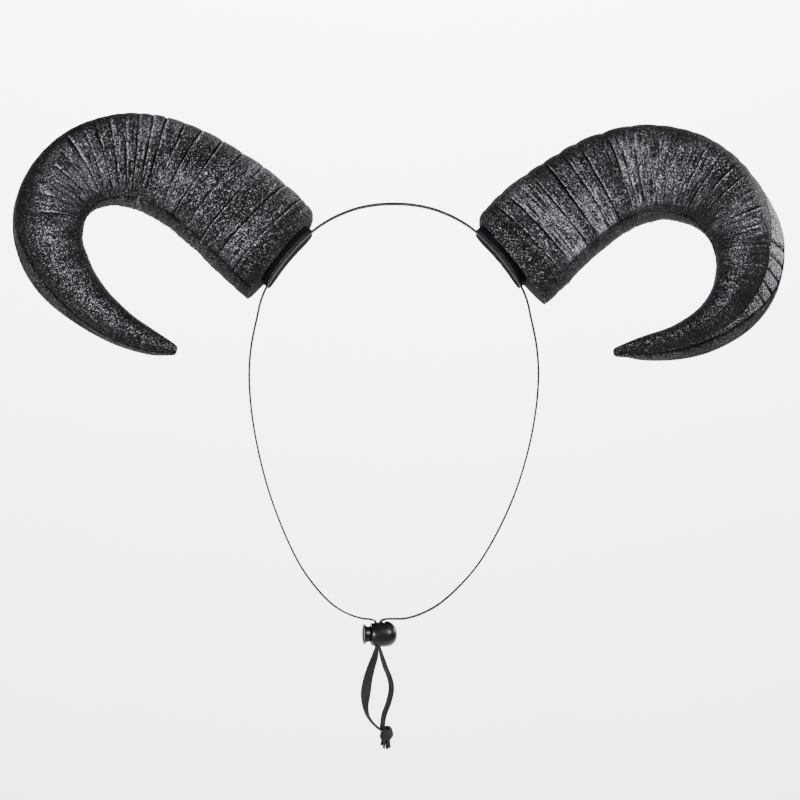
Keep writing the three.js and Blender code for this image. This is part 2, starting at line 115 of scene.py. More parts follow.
SECTION_COLUMNS = ("share", "left", "right", "outer", "inner", "front", "back", "square")
HORN_SECTIONS = (
    (0.0, 0, 0, 0.88, 1.07, 0.8, 0.84, 0.3),
    (0.012, -1, -1, 0.98, 1.07, 0.92, 0.94, 0.3),
    (0.04, -3, -3, 1.03, 1.06, 1.0, 1.0, 0.35),
    (0.105, -2, -2, 1.02, 1.02, 1.03, 1.02, 0.4),
    (0.205, 5, 7, 0.97, 0.96, 1.02, 1.0, 0.5),
    (0.31, 21, 27, 0.94, 0.885, 0.97, 0.97, 0.6),
    (0.41, 49, 57, 0.86, 0.8, 0.91, 0.92, 0.75),
    (0.515, 86, 86, 0.73, 0.69, 0.85, 0.86, 0.9),
    (0.615, 129, 120, 0.68, 0.64, 0.76, 0.78, 1.0),
    (0.72, 161, 155, 0.585, 0.535, 0.66, 0.66, 1.0),
    (0.82, 176, 185, 0.43, 0.385, 0.53, 0.52, 0.85),
    (0.92, 191, 207, 0.285, 0.28, 0.36, 0.35, 0.6),
    (0.97, 199, 212, 0.21, 0.2, 0.25, 0.24, 0.3),
    (1.0, 200, 208, 0.12, 0.13, 0.16, 0.15, 0.1),
)
NUB_LENGTHS = {"left": 3, "right": 6}
NUB_SECTIONS = np.array([(0.0, 1.0), (0.4, 0.86), (0.8, 0.7), (1.0, 0.36)])
GROOVE_SHARES = {
    "left": (
        0.048, 0.091, 0.144, 0.189, 0.23, 0.269, 0.299, 0.324, 0.346, 0.367, 0.388, 0.41,
        0.432, 0.454, 0.476, 0.498, 0.52, 0.545, 0.575, 0.61, 0.65,
    ),
    "right": (
        0.05, 0.08, 0.139, 0.169, 0.205, 0.24, 0.282, 0.322, 0.36, 0.385, 0.412, 0.439,
        0.466, 0.49, 0.515, 0.542, 0.57, 0.6, 0.635, 0.67, 0.705,
    ),
}
GROOVE_FADE = ((0.0, 0.9), (0.3, 1.0), (0.45, 0.75), (0.6, 0.5), (0.72, 0.2), (1.0, 0))
CROWN_ROUTE = ((0.0, 0.0), (0.13, 0.0025), (0.26, 0.0115), (0.38, 0.027), (0.48, 0.0455))
CHEEK_ROUTE = (
    (0.922, 0.235), (0.951, 0.28), (0.987, 0.345), (1.0, 0.415), (0.98, 0.505), (0.925, 0.605),
    (0.833, 0.711), (0.697, 0.818), (0.573, 0.889), (0.388, 0.958), (0.27, 0.984), (0.15, 0.998),
)
PLACEMENTS = {"left": (-1, 1.2, 11), "right": (1, 4.8, 9)}
STRAND_COLUMNS = ("down", "aside", "ahead", "twist")
STRAND_ROUTES = {
    "left": (
        (0.0, 0, 0, -4), (0.115, -0.9, 0.3, -28), (0.26, -3, 0.9, -42), (0.41, -4.8, 1.3, -52),
        (0.565, -5.9, 1.4, -62), (0.73, -6.2, 1.1, -30), (0.87, -4.9, 0.6, -12),
        (0.97, -1.9, 0.3, -10), (1.03, 0.9, 0.2, -10),
    ),
    "right": (
        (0.0, 0, 0, -2), (0.14, 1.7, -0.2, -16), (0.26, 3.4, -0.5, -20), (0.41, 5.9, -0.9, -21),
        (0.54, 6.6, -1, -21), (0.7, 5.2, -0.8, -22), (0.86, 2.7, -0.4, -19), (1.0, 1.7, 0, -17),
    ),
}


# Small helpers

def along(rows, column, places):
    """Values of one column of a table at places of its first column, on a smooth curve."""
    rows = np.array(rows, float)
    keys = rows[:, 0]
    values = rows[:, column]
    last = len(keys) - 1
    before = np.maximum(np.arange(last + 1) - 1, 0)
    after = np.minimum(np.arange(last + 1) + 1, last)
    slopes = (values[after] - values[before]) / (keys[after] - keys[before])
    places = np.clip(np.asarray(places, float), keys[0], keys[-1])
    i = np.clip(np.searchsorted(keys, places, side="left") - 1, 0, last - 1)
    span = keys[i + 1] - keys[i]
    t = (places - keys[i]) / span
    return (
        (2 * t**3 - 3 * t**2 + 1) * values[i]
        + (t**3 - 2 * t**2 + t) * span * slopes[i]
        + (3 * t**2 - 2 * t**3) * values[i + 1]
        + (t**3 - t**2) * span * slopes[i + 1]
    )


def smooth_step(low, high, x):
    t = np.clip((x - low) / (high - low), 0, 1)
    return t * t * (3 - 2 * t)


def bell(x, width):
    return np.exp(-((x / width) ** 2))


def circle(count):
    """Even angles round a full turn."""
    return np.linspace(0, 2 * math.pi, count, endpoint=False)


def unit(v):
    v = np.asarray(v, float)
    return v / np.linalg.norm(v, axis=-1, keepdims=True)


def lattice(ix, iy, seed):
    """Fixed pseudo-random value from 0 to 1 for each lattice point."""
    h = (ix.astype(np.int64) * 374761393 + iy.astype(np.int64) * 668265263 + seed * 974634777)
    h = h & 0xFFFFFFFF
    h = ((h ^ (h >> 13)) * 1274126177) & 0xFFFFFFFF
    h = (h ^ (h >> 16)) & 0xFFFFFFFF
    return h / 4294967295.0


def noise(x, y, seed, period=None):
    """Smooth value noise from 0 to 1; y repeats after a whole number of cells, period."""
    x0 = np.floor(x)
    y0 = np.floor(y)
    fx = x - x0
    fy = y - y0
    fx = fx * fx * (3 - 2 * fx)
    fy = fy * fy * (3 - 2 * fy)
    y1 = y0 + 1
    if period:
        y0 = np.mod(y0, period)
        y1 = np.mod(y1, period)
    low = lattice(x0, y0, seed) * (1 - fx) + lattice(x0 + 1, y0, seed) * fx
    high = lattice(x0, y1, seed) * (1 - fx) + lattice(x0 + 1, y1, seed) * fx
    return low * (1 - fy) + high * fy


def shade(mesh, smooth=True):
    mesh.polygons.foreach_set("use_smooth", [smooth] * len(mesh.polygons))


def new_mesh(name, points, faces, smooth=True):
    """Object at the origin from points in millimetres."""
    mesh = bpy.data.meshes.new(name)
    mesh.from_pydata((np.asarray(points) * MM).tolist(), [], faces)
    work = bmesh.new()
    work.from_mesh(mesh)
    bmesh.ops.recalc_face_normals(work, faces=work.faces)
    work.to_mesh(mesh)
    work.free()
    shade(mesh, smooth)
    mesh.update()
    return new_object(name, mesh)


def ring_faces(count, around, closed=False):
    """Faces of a tube of rings, with a fan over each end unless it is closed on itself.
    The fans' middle points come after the rings' points."""
    faces = []
    for i in range(count if closed else count - 1):
        a = i * around
        b = ((i + 1) % count) * around
        for j in range(around):
            k = (j + 1) % around
            faces.append((a + j, a + k, b + k, b + j))
    if not closed:
        start = count * around
        last = (count - 1) * around
        for j in range(around):
            k = (j + 1) % around
            faces.append((start, k, j))
            faces.append((start + 1, last + j, last + k))
    return faces


def tube(name, rings, closed=False):
    """Solid through rings of points, an array of rings by points by three."""
    rings = np.asarray(rings)
    points = rings.reshape(-1, 3)
    if not closed:
        points = np.vstack([points, rings[0].mean(axis=0), rings[-1].mean(axis=0)])
    return new_mesh(name, points, ring_faces(len(rings), rings.shape[1], closed))


def hard_edges(obj, degrees=32):
    """Smooth shading that breaks at edges sharper than an angle."""
    work = bmesh.new()
    work.from_mesh(obj.data)
    for edge in work.edges:
        edge.smooth = len(edge.link_faces) == 2 and edge.calc_face_angle() < math.radians(degrees)
    for face in work.faces:
        face.smooth = True
    work.to_mesh(obj.data)
    work.free()


def applied(obj):
    """Gives an object the mesh that its modifiers make."""
    bpy.context.view_layer.update()
    graph = bpy.context.evaluated_depsgraph_get()
    mesh = bpy.data.meshes.new_from_object(obj.evaluated_get(graph))
    obj.modifiers.clear()
    obj.data = mesh


def set_piece(obj, material, slot, *nodes, body=BODY):
    obj.data.materials.clear()
    obj.data.materials.append(material)
    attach(obj, body)
    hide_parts(*nodes)
    return obj


# Places in the loop's plane, on the seats and in the lock

LOOP_UP = np.array([0, math.sin(LOOP_TILT), math.cos(LOOP_TILT)])
LOOP_FRONT = np.array([0, -LOOP_UP[2], LOOP_UP[1]])
ACROSS = np.array([1.0, 0, 0])
STRAP_MIDDLE = STRAP_THICKNESS / 2


def in_loop(across, up):
    return across * ACROSS + up * LOOP_UP


def seat_frame(side):
    out = in_loop(side * math.cos(SEAT_SLOPE), math.sin(SEAT_SLOPE))
    up = in_loop(-side * math.sin(SEAT_SLOPE), math.cos(SEAT_SLOPE))
    middle = in_loop(side * SEAT_ACROSS, STRAP_MIDDLE - SEAT_DROP)
    return out, up, np.cross(out, up), middle


CHIN_END = in_loop(CHIN_ASIDE, STRAP_MIDDLE - LOOP_HEIGHT)
BARREL_MIDDLE = CHIN_END - np.array([0, 0, STRAP_THICKNESS / 2 + GAP + BARREL_DIAMETER / 2])
LOCK_ALONG = np.array([math.cos(LOCK_YAW), math.sin(LOCK_YAW), 0])
LOCK_ACROSS = np.array([-LOCK_ALONG[1], LOCK_ALONG[0], 0])
LOCK_UP = np.array([0, 0, 1.0])
LOCK_BOTTOM = BARREL_MIDDLE[2] - BARREL_DIAMETER / 2
KNOT_TOP = LOCK_BOTTOM - TAIL_DROP
SLOT_LENGTH = STRAND_SPACING + STRAP_THICKNESS + 2 * SLOT_CLEARANCE
SLOT_WIDTH = STRAP_WIDTH + 2 * SLOT_CLEARANCE


def in_lock(distance, z):
    return np.array([BARREL_MIDDLE[0], BARREL_MIDDLE[1], z]) + distance * LOCK_ALONG


KNOT_MIDDLE = in_lock(LOCK_SHIFT, KNOT_TOP - KNOT_DIAMETER / 2) + KNOT_ASIDE * ACROSS


# Materials

def node_material(name, specular=0.5, roughness=0.5):
    material = bpy.data.materials.new(name)
    material.use_nodes = True
    tree = material.node_tree
    shader = next(n for n in tree.nodes if n.type == "BSDF_PRINCIPLED")
    shader.inputs["Specular IOR Level"].default_value = specular
    shader.inputs["Roughness"].default_value = roughness
    return material, tree, shader


def add_node(tree, kind, **values):
    node = tree.nodes.new(kind)
    for key, value in values.items():
        if key in node.inputs:
            node.inputs[key].default_value = value
        else:
            setattr(node, key, value)
    return node


def noise_node(tree, coordinates, scale, detail=2.0, roughness=0.5):
    node = add_node(tree, "ShaderNodeTexNoise", Scale=scale, Detail=detail, Roughness=roughness)
    tree.links.new(coordinates, node.inputs["Vector"])
    return node.outputs["Fac"]


def grey(value):
    return (value, value, value * 1.04)


def ramp_node(tree, value, first, last):
    """Colour between two stops, each a place and a colour or a grey's value."""
    node = tree.nodes.new("ShaderNodeValToRGB")
    for element, (place, colour) in zip(node.color_ramp.elements, (first, last)):
        element.position = place
        element.color = (*(colour if isinstance(colour, tuple) else grey(colour)), 1)
    tree.links.new(value, node.inputs["Fac"])
    return node.outputs["Color"]


def mix_colour(tree, factor, first, second, blend="MIX"):
    node = tree.nodes.new("ShaderNodeMix")
    node.data_type = "RGBA"
    node.blend_type = blend
    colours = [s for s in node.inputs if s.type == "RGBA"]
    for socket, value in zip([node.inputs["Factor"], *colours], (factor, first, second)):
        if hasattr(value, "links"):
            tree.links.new(value, socket)
        elif isinstance(value, tuple):
            socket.default_value = (*value, 1)
        else:
            socket.default_value = value
    return next(s for s in node.outputs if s.type == "RGBA")


def maths(tree, operation, first, second=0.0):
    node = tree.nodes.new("ShaderNodeMath")
    node.operation = operation
    for socket, value in zip(node.inputs, (first, second)):
        if hasattr(value, "links"):
            tree.links.new(value, socket)
        else:
            socket.default_value = value
    return node.outputs[0]


def times(tree, first, second):
    return maths(tree, "MULTIPLY", first, second)


def bump_node(tree, height, distance, strength=1.0, before=None):
    node = add_node(tree, "ShaderNodeBump", Strength=strength, Distance=distance)
    tree.links.new(height, node.inputs["Height"])
    if before is not None:
        tree.links.new(before, node.inputs["Normal"])
    return node.outputs["Normal"]


def object_coordinates(tree):
    return tree.nodes.new("ShaderNodeTexCoord").outputs["Object"]


def attribute_node(tree, name, output="Fac"):
    return add_node(tree, "ShaderNodeAttribute", attribute_name=name).outputs[output]


def foam_material():
    """Moulded foam skin: near black and grained, with fine wrinkles. Its light flecks, crack lips, crests and
    ridge lines are painted glints and highlights, and its cracks, seam, base cap and creases get painted
    shade.
    """
    material, tree, shader = node_material("horn_foam_skin", 0.14)
    where = object_coordinates(tree)
    relief = attribute_node(tree, "relief")
    grained = attribute_node(tree, "grained")
    highlight_and_wear = attribute_node(tree, "highlight_and_wear")
    drawn = attribute_node(tree, "drawn")
    skin = attribute_node(tree, "skin", "Vector")
    stretch = add_node(tree, "ShaderNodeMapping", Scale=(0.85, 0.11, 1.0))
    tree.links.new(skin, stretch.inputs["Vector"])
    draw = add_node(tree, "ShaderNodeMapping", Scale=(0.5, 0.045, 1.0))
    tree.links.new(skin, draw.inputs["Vector"])
    patches = noise_node(tree, where, 45, 3)
    grain = noise_node(tree, where, 1300, 2, 0.55)
    pores = noise_node(tree, where, 600, 2)
    wrinkles = noise_node(tree, stretch.outputs["Vector"], 1.0, 3, 0.6)
    lines = noise_node(tree, draw.outputs["Vector"], 1.0, 1, 0.4)
    aside = maths(tree, "ABSOLUTE", maths(tree, "SUBTRACT", lines, 0.5))
    ridges = times(tree, ramp_node(tree, aside, (0.03, 1), (0.13, 0)), drawn)
    base = ramp_node(tree, patches, (0.3, 0.002), (0.7, 0.0045))
    # The fine ridge lines add to the painted highlights
    highlight_and_wear = maths(tree, "MAXIMUM", highlight_and_wear, ridges)
    lifted = maths(tree, "ADD", grain, times(tree, highlight_and_wear, 0.09))
    # Painted glints on the grain: faint ones, and bright flecks
    faint_glints = ramp_node(tree, lifted, (0.42, 0), (0.6, 1))
    glints = ramp_node(tree, lifted, (0.58, 0), (0.65, 1))
    dense = ramp_node(tree, times(tree, patches, wrinkles), (0.13, 0.2), (0.3, 1))
    amount = maths(tree, "ADD", times(tree, grained, 0.92), 0.08)
    amount = times(tree, amount, dense)
    amount = maths(tree, "MAXIMUM", amount, highlight_and_wear)
    # Painted sheen: faint glints lighten the grained parts
    sheened = mix_colour(tree, times(tree, faint_glints, amount), base, grey(0.034))
    # Painted highlight along the fine ridge lines
    drawn_on = mix_colour(tree, times(tree, ridges, 0.7), sheened, grey(0.13))
    # Painted glints: bright flecks
    glinted = mix_colour(tree, times(tree, glints, amount), drawn_on, grey(0.72))
    # Painted shade along the creases of the fine wrinkles
    ripple = maths(tree, "ABSOLUTE", maths(tree, "SUBTRACT", wrinkles, 0.5))
    creases = ramp_node(tree, ripple, (0.012, 0.15), (0.07, 1))
    creased = mix_colour(tree, grained, grey(1), creases)
    # Painted shade: the cracks, the seam and the base cap, where relief is low, are drawn darker
    hollow = ramp_node(tree, relief, (0.05, 0.04), (0.42, 1))
    dark = mix_colour(tree, 1.0, creased, hollow, "MULTIPLY")
    colour = mix_colour(tree, 1.0, glinted, dark, "MULTIPLY")
    tree.links.new(colour, shader.inputs["Base Color"])
    matt = ramp_node(tree, relief, (0.0, 1), (0.3, 0))
    satin = ramp_node(tree, grain, (0.35, 0.55), (0.65, 0.34))
    skinned = mix_colour(tree, grained, grey(0.8), satin)
    tree.links.new(mix_colour(tree, matt, skinned, grey(1)), shader.inputs["Roughness"])
    height = maths(tree, "ADD", grain, times(tree, pores, 0.3))
    lively = maths(tree, "ADD", times(tree, grained, 0.85), 0.15)
    normal = bump_node(tree, times(tree, wrinkles, grained), 0.0030, 1.0)
    normal = bump_node(tree, times(tree, height, lively), 0.0020, 1.0, normal)
    normal = bump_node(tree, ridges, 0.0005, 1.0, normal)
    tree.links.new(normal, shader.inputs["Normal"])
    return material


def elastic_material():
    """Woven elastic: dark threads with lighter ones between them."""
    material, tree, shader = node_material("woven_elastic", 0.3, 0.85)
    where = object_coordinates(tree)
    threads = noise_node(tree, where, 1700, 2)
    highlight_and_wear = noise_node(tree, where, 90, 2)
    base = ramp_node(tree, threads, (0.35, 0.004), (0.7, 0.022))
    colour = mix_colour(tree, times(tree, highlight_and_wear, 0.3), base, grey(0.014))
    tree.links.new(colour, shader.inputs["Base Color"])
    tree.links.new(bump_node(tree, threads, 0.00025, 0.8), shader.inputs["Normal"])
    return material


def pad_material():
    """Pressed black felt with short fibres."""
    material, tree, shader = node_material("pressed_felt", 0.02, 0.95)
    where = object_coordinates(tree)
    fibres = noise_node(tree, where, 1400, 4, 0.7)
    clumps = noise_node(tree, where, 260, 2)
    base = ramp_node(tree, fibres, (0.3, 0.002), (0.8, 0.009))
    colour = mix_colour(tree, times(tree, clumps, 0.4), base, grey(0.005))
    tree.links.new(colour, shader.inputs["Base Color"])
    height = maths(tree, "ADD", fibres, clumps)
    tree.links.new(bump_node(tree, height, 0.0005, 0.8), shader.inputs["Normal"])
    return material


def plastic_material():
    """Moulded plastic, semi-gloss, with fine mould texture and faint smudges."""
    material, tree, shader = node_material("moulded_plastic", 0.35)
    where = object_coordinates(tree)
    texture = noise_node(tree, where, 1500, 2)
    smudges = noise_node(tree, where, 160, 3)
    colour = ramp_node(tree, smudges, (0.3, 0.003), (0.7, 0.006))
    tree.links.new(colour, shader.inputs["Base Color"])
    rough = ramp_node(tree, smudges, (0.3, 0.26), (0.7, 0.38))
    tree.links.new(rough, shader.inputs["Roughness"])
    tree.links.new(bump_node(tree, texture, 0.00004, 0.5), shader.inputs["Normal"])
    return material


foam = foam_material()
elastic = elastic_material()
felt = pad_material()
plastic = plastic_material()


# Straps: a flat woven band with rounded edges and lengthwise cords

RIBS = 7
RIB_HEIGHT = 0.05
STITCH = 1.5
HALF_SECTION = 20


def band_section():
    """Points round a strap's section, across and through it, from -1 to 1."""
    across = np.cos(np.linspace(0, math.pi, HALF_SECTION))
    through = (1 - np.abs(across) ** 6) ** 0.5
    upper = np.stack([across, through], axis=1)
    lower = np.stack([-across[1:-1], -through[1:-1]], axis=1)
    return np.vstack([upper, lower])


def running_length(points):
    return np.concatenate([[0], np.cumsum(np.linalg.norm(np.diff(points, axis=0), axis=1))])


def band_rings(points, sides, width=STRAP_WIDTH, thickness=STRAP_THICKNESS, closed=False):
    points = np.asarray(points)
    if closed:
        forward = unit(np.roll(points, -1, axis=0) - np.roll(points, 1, axis=0))
    else:
        forward = unit(np.gradient(points, axis=0))
    lengths = running_length(points)
    sides = unit(sides - (sides * forward).sum(axis=1, keepdims=True) * forward)
    through = np.cross(forward, sides)
    section = band_section()
    cord = np.cos(section[:, 0] * math.pi * RIBS)
    stitch = np.cos(2 * math.pi * lengths[:, None] / STITCH + math.pi * np.round(section[:, 0] * RIBS / 2))
    relief = RIB_HEIGHT * (0.6 * cord[None, :] + 0.4 * stitch) * (1 - section[:, 0] ** 8)[None, :]
    half = thickness / 2 - RIB_HEIGHT
    high = section[:, 1][None, :] * half + np.sign(section[:, 1])[None, :] * relief
    return (
        points[:, None, :]
        + sides[:, None, :] * (section[:, 0] * width / 2)[None, :, None]
        + through[:, None, :] * high[:, :, None]
    )


def resampled(points, sides, step):
    """Route and side directions at even distances along the route."""
    lengths = running_length(points)
    places = np.linspace(0, lengths[-1], max(int(round(lengths[-1] / step)), 2) + 1)
    return [
        np.stack([np.interp(places, lengths, rows[:, k]) for k in range(3)], axis=1)
        for rows in (points, sides)
    ]


# The two hanging ends come first, since they are free cords

def strand_route(side, rows, steps=110):
    start = in_lock(LOCK_SHIFT + side * STRAND_SPACING / 2, BARREL_MIDDLE[2] - GAP / 2)
    down = np.linspace(0, 1, steps + 1) * rows[-1][0]
    column = {name: along(rows, i, down) for i, name in enumerate(STRAND_COLUMNS)}
    turn = np.radians(column["twist"]) - LOCK_YAW
    points = np.stack([
        start[0] + column["aside"],
        start[1] - column["ahead"],
        LOCK_BOTTOM + (KNOT_TOP + GAP - LOCK_BOTTOM) * down,
    ], axis=1)
    sides = np.stack([np.sin(turn), np.cos(turn), np.zeros_like(turn)], axis=1)
    return np.vstack([start, points]), np.vstack([LOCK_ACROSS, sides])


strands = {}
for hand, (side, _, _) in PLACEMENTS.items():
    points, sides = strand_route(side, STRAND_ROUTES[hand])
    even, turned = resampled(points, sides, 0.4)
    piece = tube(f"hanging_end_{hand}", band_rings(even, turned))
    piece = set_piece(piece, elastic, "elastic", f"tail_{hand}")
    strands[hand] = (piece, points, even, turned[-1])


# Knot: turns of the strap round the strands, and the cut ends below it

def turned_about_x_then_y(points, tilt_x, tilt_y):
    cx, sx = math.cos(math.radians(tilt_x)), math.sin(math.radians(tilt_x))
    cy, sy = math.cos(math.radians(tilt_y)), math.sin(math.radians(tilt_y))
    about_x = np.array([[1, 0, 0], [0, cx, -sx], [0, sx, cx]])
    about_y = np.array([[cy, 0, sy], [0, 1, 0], [-sy, 0, cy]])
    return points @ (about_y @ about_x).T


WRAPS = (
    # aside, rise, half across, half deep, width, thickness, tilt about X, tilt about Y
    (1.0, 0.5, 2.3, 3.2, 2.6, 1.5, 70, -14),
    (0.1, 0.75, 2.75, 3.3, 2.1, 1.4, 8, -22),
    (0.1, -1.1, 2.8, 3.4, 2.1, 1.5, -6, -12),
    (0.0, -2.7, 2.3, 2.8, 1.8, 1.4, -4, -2),
)
CUT_ENDS = (
    # aside, ahead, lean, share of the usual length
    (-0.2, 0.1, -10, 0.5),
    (-0.09, -0.12, -3, 0.8),
    (0.06, 0.08, 3, 0.92),
    (0.19, -0.08, 6, 0.75),
)

WRAP_POINTS = 72
ENTRY_POINTS = 18
ENTRY_LEAD = 2.2
HEART_POINTS = 12
HEART_BOTTOM = -3.2
HEART_TOP = 2.2
HEART_WIDTH = 4.8
HEART_DEPTH = 3.6
CUT_POINTS = 14
CUT_WIDTH = 1.5
CUT_ROOT = 1.5
FIBRES = 9
FIBRE_RADIUS = 0.08


def knot_piece():
    """The wraps, each strand's way into them, a heart that fills them, and the cut ends
    with their loose fibres."""
    meshes = []
    for aside, rise, half_x, half_y, width, thickness, tilt_x, tilt_y in WRAPS:
        angle = circle(WRAP_POINTS)
        ring = np.stack([half_x * np.cos(angle), half_y * np.sin(angle), 0.25 * np.sin(2 * angle)], axis=1)
        upward = np.tile([0, 0, 1.0], (WRAP_POINTS, 1)) + 0.25 * np.stack(
            [np.cos(angle), np.sin(angle), 0 * angle], axis=1) * np.sin(3 * angle)[:, None]
        ring = turned_about_x_then_y(ring, tilt_x, tilt_y)
        upward = turned_about_x_then_y(upward, tilt_x, tilt_y)
        ring = ring + KNOT_MIDDLE + np.array([aside, 0, rise])
        meshes.append(tube("wrap", band_rings(ring, upward, width, thickness, True), True))
    for hand, (_, _, even, last_side) in strands.items():
        onward = unit(even[-1] - even[-2])
        entry = even[-1] + 0.02 * onward
        inner = KNOT_MIDDLE + np.array([-0.4 if hand == "left" else 0.2, 0, 0.6])
        ahead = entry + ENTRY_LEAD * onward
        way = np.linspace(0, 1, ENTRY_POINTS)[:, None] ** 2
        line = entry * (1 - way) ** 2 + 2 * ahead * way * (1 - way) + inner * way**2
        meshes.append(tube("entry", band_rings(line, np.tile(last_side, (ENTRY_POINTS, 1)))))
    heart = np.linspace(HEART_BOTTOM, HEART_TOP, HEART_POINTS)
    column = KNOT_MIDDLE + np.stack([0.12 * heart - 0.2, 0 * heart, heart], axis=1)
    deep = np.tile([0.1, 1.0, 0], (HEART_POINTS, 1))
    meshes.append(tube("heart", band_rings(column, deep, HEART_WIDTH, HEART_DEPTH)))
    for n, (aside, ahead, lean, share) in enumerate(CUT_ENDS):
        length = CUT_END_LENGTH * share + CUT_ROOT
        way = np.linspace(0, 1, CUT_POINTS)
        tilt = math.radians(lean)
        top = KNOT_MIDDLE + np.array([aside, ahead, -0.5]) * KNOT_DIAMETER + CUT_ROOT * LOCK_UP
        direction = np.array([math.sin(tilt), 0, -math.cos(tilt)])
        curl = 0.35 * math.sin(2.1 * n + 1)
        line = top + way[:, None] * length * direction + np.outer(way**2, [0.2 * curl, curl, 0])
        facing = np.tile(unit([1.0, 0.7 * math.sin(2 * n + 1), 0]), (CUT_POINTS, 1))
        meshes.append(tube("cut", band_rings(line, facing, CUT_WIDTH)))
        for f in range(FIBRES):
            offset = f / (FIBRES // 2) - 1
            root = line[-1] + facing[0] * offset * STRAP_WIDTH / 9 - 0.3 * direction
            spread = np.array([0.28 * math.sin(5 * f + n), 0.3 * offset, 0])
            out = unit(direction + spread) * (0.9 + 0.35 * math.sin(3 * f + 2 * n))
            fibre = root + np.linspace(0, 1, 4)[:, None] * out
            meshes.append(tube("fibre", round_rings(fibre, FIBRE_RADIUS)))
    return joined("knot", meshes)


def round_rings(points, radius, around=6):
    points = np.asarray(points)
    forward = unit(np.gradient(points, axis=0))
    first = unit(np.cross(forward, [0.31, 0.87, 0.17]))
    second = np.cross(forward, first)
    angle = circle(around)
    return points[:, None, :] + radius * (
        first[:, None, :] * np.cos(angle)[None, :, None] + second[:, None, :] * np.sin(angle)[None, :, None]
    )


def joined(name, objects):
    """One object from several, in the order given."""
    work = bmesh.new()
    for obj in objects:
        work.from_mesh(obj.data)
        bpy.data.objects.remove(obj)
    mesh = bpy.data.meshes.new(name)
    work.to_mesh(mesh)
    work.free()
    shade(mesh)
    return new_object(name, mesh)


knot = set_piece(knot_piece(), elastic, "elastic", "tail_knot")


# Loop of elastic over the crown and under the chin

def half_loop(side):
    out, up, _, middle = seat_frame(side)

    def placed(rows):
        return [
            in_loop(side * across * LOOP_HALF_WIDTH + CHIN_ASIDE * down**5, STRAP_MIDDLE - down * LOOP_HEIGHT)
            for across, down in rows
        ]

    def on_seat(distance):
        hollow = PAD_HOLLOW_RADIUS - math.sqrt(PAD_HOLLOW_RADIUS**2 - distance**2)
        return middle + distance * up + (STRAP_THICKNESS / 2 - GAP - PAD_THICKNESS - hollow) * out

    reach = PAD_LENGTH / 2
    strand = LOCK_SHIFT + side * STRAND_SPACING / 2
    chin = CHIN_END[2]
    return (
        placed(CROWN_ROUTE)
        + [on_seat(d) for d in (reach + 1, reach / 2, 0, -reach / 2, -reach - 1)]
        + placed(CHEEK_ROUTE)
        + [
            in_lock(strand + side * STRAND_BEND, chin),
            in_lock(strand + side * STRAND_BEND * 0.3, chin - STRAND_BEND * 0.3),
            in_lock(strand, chin - STRAND_BEND),
            in_lock(strand, BARREL_MIDDLE[2] + GAP / 2),
        ]
    )


def centripetal(points, steps):
    """Catmull-Rom curve through points, with the square root of each distance as its time."""
    points = np.asarray(points)
    ends = np.vstack([2 * points[0] - points[1], points, 2 * points[-1] - points[-2]])
    curve = []
    for i in range(1, len(ends) - 2):
        p = ends[i - 1:i + 3]
        dt = np.sqrt(np.linalg.norm(np.diff(p, axis=0), axis=1))
        m1 = ((p[1] - p[0]) / dt[0] - (p[2] - p[0]) / (dt[0] + dt[1]) + (p[2] - p[1]) / dt[1]) * dt[1]
        m2 = ((p[2] - p[1]) / dt[1] - (p[3] - p[1]) / (dt[1] + dt[2]) + (p[3] - p[2]) / dt[2]) * dt[1]
        t = np.linspace(0, 1, steps, endpoint=i == len(ends) - 3)[:, None]
        curve.append(
            (2 * t**3 - 3 * t**2 + 1) * p[1] + (t**3 - 2 * t**2 + t) * m1
            + (3 * t**2 - 2 * t**3) * p[2] + (t**3 - t**2) * m2
        )
    return np.vstack(curve)


loop_points = centripetal(half_loop(-1)[:0:-1] + half_loop(1), 40)
low = np.clip(1 - (loop_points[:, 2] - CHIN_END[2]) / TURN_HEIGHT, 0, 1)[:, None]
loop_sides = unit(-LOOP_FRONT * (1 - low) + LOCK_ACROSS * low)
even, turned = resampled(loop_points, loop_sides, 0.5)
set_piece(tube("elastic_strap", band_rings(even, turned)), elastic, "elastic", "elastic_loop")


# Horns

AROUND = 132
STATIONS = 740
SEAM_CROWDING = 0.4
CRACK_SPACING = 0.15
PLAIN_SPACING = 0.55
CRACK_WIDTH = 0.4
TROUGH_WIDTH = 1.7
LIP_PLACE = 0.85
LIP_WIDTH = 0.5
FAR_LIP_PLACE = -1.3
FAR_LIP_WIDTH = 1.0
LAST_RIB = 12
ROLL_PLACE = 9.5
ROLL_WIDTH = 1.5
ROLL_DEPTH = 0.4
SKIN_ROUND = 165
SIDE_GROOVE_DEPTH = 0.9
SIDE_GROOVE_WIDTH = 0.85
SEAM_DEPTH = 0.8
SEAM_WIDTH = 0.8
SEAM_STEP = 0.25
HORN_SEEDS = {"left": 11, "right": 47}
CRACKS = {hand: np.array(shares) * HORN_LENGTH for hand, shares in GROOVE_SHARES.items()}
CRACK_DEPTH = {"left": 0.95, "right": 0.8}
# How deep the notches between the ribs are at the outer edge
EDGE_DEPTH = {
    "left": ((0.0, 0.32), (0.2, 0.28), (0.32, 0.15), (0.45, 0.08), (1.0, 0.05)),
    "right": ((0.0, 0.3), (0.5, 0.3), (1.0, 0.1)),
}
# How far the cracks stray along the horn
WANDER = {"left": 1.5, "right": 2.3}
# Side of each crack, toward the base or the tip, whose raised lip faces the light and gets a painted
# highlight
LIP_SIDE = {"left": -1, "right": 1}
# How grained each horn's skin is, which also sets how many painted glints it gets
GRAIN = {
    "left": ((0.0, 0.95), (0.42, 0.95), (0.5, 0.4), (0.58, 0.4), (0.66, 1.0), (1.0, 1.0)),
    "right": ((0.0, 0.7), (0.2, 0.75), (0.33, 0.9), (0.45, 0.75), (0.55, 0.4), (1.0, 0.55)),
}
